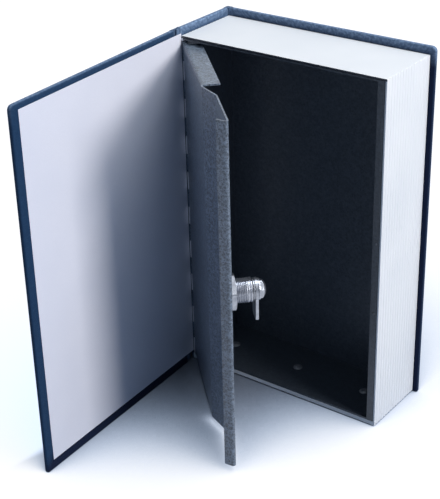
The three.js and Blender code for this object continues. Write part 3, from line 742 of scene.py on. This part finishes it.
def front_joint_cloth():
    """The cloth over the front fold: a strip between two boards that dips into the joint by d sin(pi t)."""
    start = (SPINE_FACE + TUCK, SPINE_FRONT + JOINT_LAP)
    stop = cover_place([JOINT_HALF + JOINT_LAP, TUCK - CLOTH / 2, 0])[:2]
    line = line_between(start, stop, 15)
    swell = np.sin(math.pi * np.linspace(0, 1, len(line)))
    dipped = line + np.array([JOINT_DIP, 0.0]) * swell[:, None]
    up = np.linspace(TUCK, COVER_HEIGHT - TUCK, JOINT_ROWS)
    points, faces = slab_of(carried_up(dipped, up), np.array([CLOTH, 0.0, 0.0]))
    threads = np.stack(np.broadcast_arrays(travel_along(line), up[:, None]), -1)
    wear_and_highlight = np.broadcast_to(FRONT_JOINT_RUB * swell, (len(up), len(line)))
    return make_piece(
        "front_joint_cloth", points, faces, None, CLOTH_FINISH,
        uv=np.concatenate([threads, threads]), values={"wear_and_highlight": np.concatenate([wear_and_highlight, wear_and_highlight])},
        sharp=60.0, bend=FRONT_FOLD,
    )


def back_joint_line():
    """The outer side of the cloth round the shut back joint, in plan: along the spine, round a quarter
    circle, and along the cover."""
    face = BACK_AXIS[1] + CLOTH / 2
    bend = arc((SPINE_FACE + JOINT_BEND, face - JOINT_BEND), JOINT_BEND, 180, 90, 8)
    spine_start = (SPINE_FACE + TUCK, SPINE_BACK - JOINT_LAP)
    spine_stop = (bend[0][0] + TUCK, bend[0][1])
    cover_start = (bend[-1][0], bend[-1][1] - TUCK)
    cover_stop = (BACK_AXIS[0] + JOINT_HALF + JOINT_LAP, face - TUCK)
    return np.concatenate([
        line_between(spine_start, spine_stop, 4)[:-1],
        bend + np.array([TUCK, -TUCK]),
        line_between(cover_start, cover_stop, 4)[1:],
    ])


def back_joint_cloth():
    """The cloth round the shut back joint, drawn up the height of the case.

    Its outline is the strip's outer line and the same line moved to the right by the cloth's thickness. It is
    rubbed by sin(pi t) along the strip."""
    line = back_joint_line()
    inner = line - left_of(line) * CLOTH
    up = np.linspace(TUCK, COVER_HEIGHT - TUCK, JOINT_ROWS)
    rings = carried_up(np.concatenate([line, inner[::-1]]), up)
    travel = travel_along(line)
    travel = np.concatenate([travel, travel[::-1]])
    rub = BACK_JOINT_RUB * np.sin(np.linspace(0, math.pi, len(line)))
    rub = np.concatenate([rub, rub])
    return make_piece(
        "back_joint_cloth", rings, ring_faces(*rings.shape[:2]), "case", CLOTH_FINISH,
        uv=np.stack(np.broadcast_arrays(travel, up[:, None]), -1),
        values={"wear_and_highlight": np.broadcast_to(rub, rings.shape[:2])}, sharp=60.0,
    )


def joint_turn_in(name, low, high, under_head):
    """The cloth turned in over the head of a shut joint: a block with every edge rounded, drawn by loops
    whose insets grow towards its two ends."""
    loops = []
    for depth, inset in TURN_IN_LOOPS:
        loop = rounded_loop(low, high, (TURN_IN_CORNER,) * 3, inset, steps=3, between=0)[0]
        level = COVER_HEIGHT - under_head - depth
        loops.append(np.column_stack([loop, np.full(len(loop), level)]))
    rings = np.stack(loops)
    return make_piece(
        name, rings, ring_faces(*rings.shape[:2]), "case", CLOTH_FINISH, uv=rings[..., [0, 1]],
        values={"wear_and_highlight": np.full(rings.shape[:2], TURN_IN_RUB)}, sharp=60.0,
    )


def front_endpaper():
    """The pasted endpaper: a thin sheet whose face rises and falls by h sin(x / a + z / b) sin(z / c), and
    lies flat at its rim."""
    along = np.linspace(JOINT_HALF + PAPER_GAP, PAPER_SIDE, 40)
    up = np.linspace(PAPER_FOOT, PAPER_HEAD, 60)
    x, z = np.meshgrid(along, up)
    swell = SWELL_HEIGHT * np.sin(x / SWELL_ALONG + z / SWELL_SLANT) * np.sin(z / SWELL_UP)
    rim = np.minimum.reduce([x - along[0], along[-1] - x, z - up[0], up[-1] - z])
    swell *= np.clip(rim / SWELL_RIM, 0, 1)
    sheet = np.stack([x, PAPER_FACE + swell, z], -1)
    points, faces = slab_of(sheet, np.array([0, -PAPER_THICKNESS, 0]))
    return make_piece(
        "front_endpaper_sheet", cover_place(points), faces, "front_cover", PAPER_FINISH,
        ("front_endpaper",), sharp=50.0,
    )


def endpaper_flap():
    """The endpaper over the front fold: a straight strip in plan from block to cover, drawn up its height."""
    start = (BLOCK_LEFT - FLAP_BESIDE_BLOCK, BLOCK_FRONT + FLAP_BEHIND_FRONT)
    stop = cover_place([JOINT_HALF + FLAP_LAP, PAPER_FACE - FLAP_TUCK, 0])[:2]
    sheet = carried_up(line_between(start, stop, 13), np.linspace(PAPER_FOOT, PAPER_HEAD, 30))
    points, faces = slab_of(sheet, np.array([-FLAP_THICKNESS, 0, 0]))
    return make_piece(
        "endpaper_hinge", points, faces, None, PAPER_FINISH, sharp=60.0, bend=FRONT_FOLD,
    )


COVER_OUTLINE = (
    (JOINT_HALF, 0.0), (COVER_REACH, COVER_HEIGHT), (JOINT_CORNER, COVER_HEAD_CORNER, COVER_FOOT_CORNER),
)
SPINE_OUTLINE = ((SPINE_FRONT, 0.0), (SPINE_BACK, COVER_HEIGHT), (JOINT_CORNER,) * 3)
# Back cover and spine: broad painted highlight on their heads; back cover: painted shade round its inner
# border.
cover_skin("front_cover_skin", *COVER_OUTLINE, cover_place, "front_cover", ("front_cover_cloth",))
cover_skin("back_cover_skin", *COVER_OUTLINE, back_place, "case", ("back_cover_cloth",), head_highlight=0.95, dark=1.0)
cover_skin("spine_skin", *SPINE_OUTLINE, spine_place, "case", ("spine_cloth",), head_highlight=0.8)
front_joint_cloth()
back_joint_cloth()
joint_turn_in("back_joint_turn_in", *BACK_TURN_IN)
joint_turn_in("front_joint_turn_in", *FRONT_TURN_IN)
front_endpaper()
endpaper_flap()

# Page block and steel box
edged_copy("page_block_shell", "page_block", PLASTIC_FINISH, BLOCK_EDGE)
edged_copy("box_body", "steel_box", PAINT_FINISH, BOX_EDGE)
edged_copy("strike_bracket", "strike_plate", ZINC_FINISH, STRIKE_EDGE)


def rivet_head(radius, height, rim):
    """A domed rivet head's profile: a flat seat, a short wall, then a quarter ellipse nearly to the crown:
    r = R cos a, h = rim + (H - rim) sin a."""
    angle = np.radians(np.linspace(0, 88, 10))
    dome = np.stack([radius * np.cos(angle), rim + (height - rim) * np.sin(angle)], -1)
    return [*((share * radius, 0.0) for share in SEAT_SHARES), *dome]


for number, x in enumerate(FLOOR_RIVETS, 1):
    lathe(
        f"box_rivet_{number}", rivet_head(FLOOR_HEAD_RADIUS, FLOOR_HEAD_HEIGHT, FLOOR_HEAD_RIM),
        stand_at(x, 0, FLOOR_RIVET_SEAT), "case", RIVET_FINISH, steps=40,
    )
for number, (x, z) in enumerate(STRIKE_RIVETS, 1):
    lathe(
        f"strike_rivet_head_{number}", rivet_head(STRIKE_HEAD_RADIUS, STRIKE_HEAD_HEIGHT, STRIKE_HEAD_RIM),
        facing_front(x, BLOCK_FRONT + STRIKE_HEAD_SINK, z), "case", PAINT_FINISH,
        (f"strike_rivet_{number}",), steps=32,
    )


# Piano hinge
def sheet_outline(line, thickness):
    """The outline of a bent sheet in plan: its middle line moved to either side by half the thickness."""
    side = left_of(line) * thickness / 2
    return np.concatenate([line + side, (line - side)[::-1]])


def sheet_rings(line, low, high):
    """A bent sheet drawn up between two heights, a little thinner at both ends, which softens their rims."""
    full, rim = sheet_outline(line, LEAF_THICKNESS), sheet_outline(line, LEAF_THICKNESS - 2 * LEAF_RIM)
    levels = ((rim, low), (full, low + LEAF_RIM), (full, high - LEAF_RIM), (rim, high))
    return np.stack([np.column_stack([outline, np.full(len(outline), height)]) for outline, height in levels])


def knuckle_line(level):
    """The middle line of a knuckle: level, an S bend up to the roll, then three quarters of a circle.
    Over the bend, height = level + (roll - level) (3 t^2 - 2 t^3)."""
    along = np.linspace(LEAF_EDGE + LEAF_START, ROLL_START, 14)
    share = np.clip((LEAF_EDGE - along) / LEAF_CRANK, 0, 1)
    height = level + (ROLL_RADIUS - level) * share**2 * (3 - 2 * share)
    return np.concatenate([np.stack([along, height], -1), arc((0, 0), ROLL_RADIUS, 90, 360, 30)])


def hinge_leaf(name, first, level, inset, axes, place, body, finish, stands_for):
    """Every second knuckle and the flat of the leaf, as one piece of closed forms. The axes say which of the
    sheet's directions comes first."""
    length = (HINGE_HEAD - HINGE_FOOT) / KNUCKLE_COUNT
    tops = [HINGE_HEAD - index * length for index in range(first, KNUCKLE_COUNT, 2)]
    knuckle, gap = knuckle_line(level), KNUCKLE_GAP / 2
    forms = [sheet_rings(knuckle, top - length + gap, top - gap) for top in tops]
    flat = line_between((LEAF_EDGE, level), (LEAF_WIDTH, level), 3)
    forms.append(sheet_rings(flat, HINGE_FOOT + inset, HINGE_HEAD - inset))
    points, faces = [], []
    for rings in forms:
        faces += ring_faces(*rings.shape[:2], first=sum(map(len, points)))
        points.append(rings.reshape(-1, 3))
    local = np.concatenate(points)[:, axes]
    return make_piece(name, place(local), faces, body, finish, (stands_for,), sharp=40.0)


hinge_leaf(
    "hinge_fixed_leaf", 1, ROLL_RADIUS, FIXED_LEAF_INSET, (1, 0, 2), hinge_place, "case", LEAF_FINISH,
    "hinge_box_leaf",
)
hinge_leaf(
    "hinge_moving_leaf", 0, DOOR_LEAF_LEVEL, DOOR_LEAF_INSET, (0, 1, 2), door_place, "door", DOOR_FINISH,
    "hinge_door_leaf",
)
pin_foot = [(radius, HINGE_FOOT + inward) for radius, inward in PIN_END]
pin_head = [(radius, HINGE_HEAD - inward) for radius, inward in reversed(PIN_END)]
lathe(
    "hinge_pin_rod", pin_foot + pin_head, stand_at(*HINGE_AXIS, 0), "case", ZINC_FINISH,
    ("hinge_pin",), steps=32,
)

# Door
edged_copy("door_panel", "door_sheet", DOOR_FINISH, DOOR_EDGE)


# Cam lock
def barrel_rings(low, high, angle, rows_per_turn=8):
    """A barrel with two flats, threaded for most of its length and grooved near its end.

    The radius is R - d (1 - w) f - g. Here w is a triangle wave of height over pitch less angle over a full
    turn, f fades the thread out at both ends, and g is a groove, its depth times exp(-(h / width)^4). The
    barrel is cut above and below to the flats' half height, which grows past the nut."""
    rows = int((high - low) / THREAD_PITCH * rows_per_turn) + 1
    height = np.linspace(low, high, rows)[:, None]
    phase = height / THREAD_PITCH - angle / (2 * math.pi)
    wave = np.clip(THREAD_CREST * np.abs(2 * (phase - np.floor(phase)) - 1), 0, 1)
    fade = np.clip(np.minimum(height - low, THREAD_END - height) / THREAD_FADE, 0, 1)
    groove = GROOVE_DEPTH * np.exp(-(((height - GROOVE) / GROOVE_WIDTH) ** 4))
    rings = turned_rings(BARREL_RADIUS - THREAD_DEPTH * (1 - wave) * fade - groove, height, angle)
    flat = BARREL_FLAT + FLAT_GROWTH * np.clip((height - NUT_FRONT) / FLAT_RISE, 0, 1)
    rings[..., 1] = np.clip(rings[..., 1], -flat, flat)
    return rings


def lock_housing():
    """The lock body in one closed skin: bezel from the plug's seat outwards, barrel, nose and bore."""
    seat = BEZEL_FRONT + PLUG_SEAT_DEPTH
    shoulder = BEZEL_RADIUS - BEZEL_ROUND
    front = [
        (PLUG_BORE, seat), (PLUG_SEAT_RADIUS, seat), (PLUG_SEAT_RADIUS, BEZEL_FRONT + PLUG_SEAT_RIM),
        (PLUG_SEAT_RADIUS + PLUG_SEAT_RIM, BEZEL_FRONT), (shoulder, BEZEL_FRONT),
        *arc((shoulder, BEZEL_FRONT + BEZEL_ROUND), BEZEL_ROUND, 270, 360, 8)[1:],
        (BEZEL_RADIUS, BEZEL_BACK - BEZEL_RIM), (BEZEL_RADIUS - BEZEL_RIM, BEZEL_BACK),
        (BARREL_RADIUS + BARREL_FILLET, BEZEL_BACK),
    ]
    back = [
        (NOSE_RADIUS, BARREL_END - NOSE_CHAMFER), (NOSE_RADIUS - BORE_RIM, BARREL_END),
        (PLUG_BORE + BORE_RIM, BARREL_END), (PLUG_BORE, BARREL_END - BORE_RIM),
    ]
    angle = full_turn(72)
    rings = np.concatenate([
        turned_rings(*np.array(front).T[..., None], angle),
        barrel_rings(BEZEL_BACK + BARREL_FILLET, BARREL_END - 2 * NOSE_CHAMFER, angle),
        turned_rings(*np.array(back).T[..., None], angle),
    ])
    return make_piece(
        "lock_body", lock_place(rings), ring_faces(*rings.shape[:2], closed=True), "door", NICKEL_FINISH,
        ("lock_housing",), sharp=32.0,
    )


def hexagon_radius(angle, across):
    """The distance from a hexagon's middle to its side: half its width divided by the cosine of the angle
    from the middle of that side."""
    step = math.pi / 3
    inside = np.mod(angle - NUT_TURN, step) - step / 2
    return across / 2 / np.cos(inside)


def lock_nut():
    """A thin hexagon nut: the hexagon's radius, cut at both faces by a cone that starts at its flats."""
    angle = full_turn(96)
    height = np.linspace(NUT_BACK, NUT_FRONT, 17)[:, None]
    depth = np.minimum(height - NUT_BACK, NUT_FRONT - height)
    cone = NUT_ACROSS / 2 + NUT_CONE_START + depth * NUT_CONE_SLOPE
    outer = np.minimum(hexagon_radius(angle, NUT_ACROSS), cone)
    bore = BARREL_RADIUS + NUT_PLAY
    inner = np.array([
        (bore + NUT_BORE_RIM, NUT_FRONT), (bore, NUT_FRONT - NUT_BORE_RIM),
        (bore, NUT_BACK + NUT_BORE_RIM), (bore + NUT_BORE_RIM, NUT_BACK),
    ])
    rings = np.concatenate([
        turned_rings(outer, height, angle), turned_rings(*inner.T[..., None], angle),
    ])
    return make_piece(
        "lock_ring_nut", lock_place(rings), ring_faces(*rings.shape[:2], closed=True), "door", ZINC_FINISH,
        ("lock_nut",), sharp=25.0,
    )


def cam_bolt():
    """A hexagon bolt head on a round flange, both under one dome of r = R sqrt(1 - (h / H)^2)."""
    angle = full_turn(96)
    flange = np.concatenate([[0.0, BOLT_RIM], np.linspace(2 * BOLT_RIM, BOLT_FLANGE - BOLT_STEP, 5)])
    head = np.linspace(BOLT_FLANGE + BOLT_STEP, BOLT_HEIGHT, 22)
    height = np.concatenate([flange, head])[:, None]
    dome = BOLT_RADIUS * np.sqrt(1 - (height / (BOLT_HEIGHT * BOLT_DOME_SHARE)) ** 2)
    hexagon = np.minimum(hexagon_radius(angle, BOLT_ACROSS), dome)
    radius = np.where(height < BOLT_FLANGE, dome + 0 * angle, hexagon)
    radius[0] -= BOLT_RIM
    crown_radius = dome[-1] * np.array(CROWN_SHARES)[:, None]
    crown_height = BOLT_HEIGHT + CROWN_STEP * np.array(CROWN_STEPS)[:, None]
    rings = np.concatenate([
        turned_rings(radius, BOLT_SEAT + height, angle),
        turned_rings(crown_radius, BOLT_SEAT + crown_height, angle),
    ])
    return make_piece(
        "cam_bolt_head", lock_place(rings), ring_faces(*rings.shape[:2]), "lock_core", ZINC_FINISH,
        ("cam_bolt",), sharp=28.0,
    )


lock_housing()
lock_nut()
cam_bolt()
edged_copy("lock_plug", "lock_key_plug", NICKEL_FINISH, PLUG_EDGE)
edged_copy("lock_cam", "lock_cam_arm", ZINC_FINISH, CAM_EDGE)
edged_copy("cam_stop_washer", "cam_washer", ZINC_FINISH, WASHER_EDGE)

# CAD nodes that show as they are
CARRIED = {
    "front_cover_board": BOARD_FINISH, "spine_board": BOARD_FINISH, "back_cover_board": BOARD_FINISH,
    "back_endpaper": PAPER_FINISH,
}
for number in range(1, len(FLOOR_RIVETS) + 1):
    CARRIED[f"floor_rivet_{number}"] = RIVET_FINISH
for number in range(1, WAFER_COUNT + 1):
    CARRIED[f"lock_wafer_{number}"] = BRASS_FINISH
for node, finish in CARRIED.items():
    nodes[node].data.materials.clear()
    nodes[node].data.materials.append(finish)


# Stage, light and camera
def studio_floor():
    """A pale floor that keeps the object's shadow. Camera, glass and metal see it glow to white, and the less
    sky it sees past what stands on it, the less it glows: smoothstep of the open share. That dimming, tinted
    blue, is a painted shadow. Left of the spine it glows white all the same: painted light that hides the
    shadow there."""
    made = Finish("studio_floor", 0.8)
    rays = made.add("ShaderNodeLightPath").node.outputs
    shiny = made.math("MAXIMUM", rays["Is Glossy Ray"], rays["Is Transmission Ray"])
    seen = made.math("MAXIMUM", rays["Is Camera Ray"], shiny)
    grain = made.noise(made.place(), 60)
    pale = made.tones(grain, 0.3, 0.7, colour(90, 97, 111), colour(94, 101, 115))
    made.set("Base Color", made.mix(seen, colour(113, 134, 164), pale))
    lean = made.add("ShaderNodeCombineXYZ", dict(enumerate(FLOOR_LEAN)))
    look = {"Distance": FLOOR_LOOK * MM, "Normal": lean}
    open_sky = made.add("ShaderNodeAmbientOcclusion", look, output="AO", samples=32)
    # Painted shadow: where little sky is open the glow dims and turns blue.
    whiteness = made.smooth(open_sky, *WHITENING, 0.0, 1.0)
    made.set("Emission Color", made.mix(whiteness, PAINTED_SHADOW_TINT, WHITE))
    across = made.add("ShaderNodeSeparateXYZ", {"Vector": made.place()}, output="X")
    # Painted light: left of the spine the floor glows white, hiding the shadow there.
    beside = made.smooth(across, GLOW_EDGE * MM, GLOW_FULL * MM, 0.0, GLOW_BESIDE)
    glow = made.math("MAXIMUM", made.smooth(open_sky, *GLOWING, 0.0, GLOW_OPEN), beside)
    made.set("Emission Strength", made.math("MULTIPLY", seen, glow))
    mesh = bpy.data.meshes.new("studio_floor")
    corners = [(FLOOR_HALF * x, FLOOR_HALF * y, 0) for x, y in ((-1, -1), (1, -1), (1, 1), (-1, 1))]
    mesh.from_pydata(corners, [], [(0, 1, 2, 3)])
    mesh.materials.append(made.material)
    floor = bpy.data.objects.new("studio_floor", mesh)
    bpy.context.scene.collection.objects.link(floor)


def lamp(name, place, aim, size, power, tint):
    """A soft square lamp that looks at a point."""
    light = bpy.data.lights.new(name, "AREA")
    light.size = size
    light.energy = power
    light.color = tint
    made = bpy.data.objects.new(name, light)
    bpy.context.scene.collection.objects.link(made)
    made.location = place
    made.rotation_euler = (Vector(aim) - Vector(place)).to_track_quat("-Z", "Y").to_euler()


def studio_world():
    """A cool, dim surround for diffuse light that camera, glass and metal see as white. It has one dark side
    for metal: towards it the white fades out by the cosine of the angle from its middle."""
    world = bpy.data.worlds.new("studio")
    bpy.context.scene.world = world
    world.use_nodes = True
    made = Nodes(world.node_tree)
    dim = made.tree.nodes["Background"]
    dim.inputs["Color"].default_value = WORLD_COLOUR
    dim.inputs["Strength"].default_value = WORLD_STRENGTH
    white = made.add("ShaderNodeBackground", {"Color": WHITE})
    rays = made.add("ShaderNodeLightPath").node.outputs
    direct = made.math("MAXIMUM", rays["Is Camera Ray"], rays["Is Transmission Ray"])
    sky = made.add("ShaderNodeTexCoord", output="Generated")
    facing = made.add("ShaderNodeVectorMath", {0: sky, 1: DARK_SIDE}, output="Value", operation="DOT_PRODUCT")
    gloss = made.spread(facing, *DARKENING, 1.0, DARK_SHARE)
    share = made.math("MULTIPLY_ADD", rays["Is Glossy Ray"], gloss, direct)
    surround = made.add("ShaderNodeMixShader", {0: share, 1: dim.outputs[0], 2: white})
    made.give(made.tree.nodes["World Output"].inputs["Surface"], surround)


def studio_camera():
    """The photograph's camera: its three directions and its place are the columns of its matrix."""
    data = bpy.data.cameras.new("studio_camera")
    data.lens = FOCAL_LENGTH
    data.sensor_width = SENSOR
    data.sensor_fit = "AUTO"
    data.clip_start = 0.05
    data.clip_end = 20.0
    camera = bpy.data.objects.new("studio_camera", data)
    bpy.context.scene.collection.objects.link(camera)
    turn = np.eye(4)
    turn[:3, 0] = CAMERA_RIGHT
    turn[:3, 1] = -np.array(CAMERA_DOWN)
    turn[:3, 2] = -np.array(CAMERA_FORWARD)
    turn[:3, 3] = np.array(CAMERA_PLACE) * MM
    camera.matrix_world = Matrix(turn.tolist())
    bpy.context.scene.camera = camera


studio_floor()
studio_world()
lamp("key_lamp", *KEY_LAMP)
lamp("top_lamp", *TOP_LAMP)
studio_camera()
bpy.context.scene.view_settings.view_transform = "Standard"
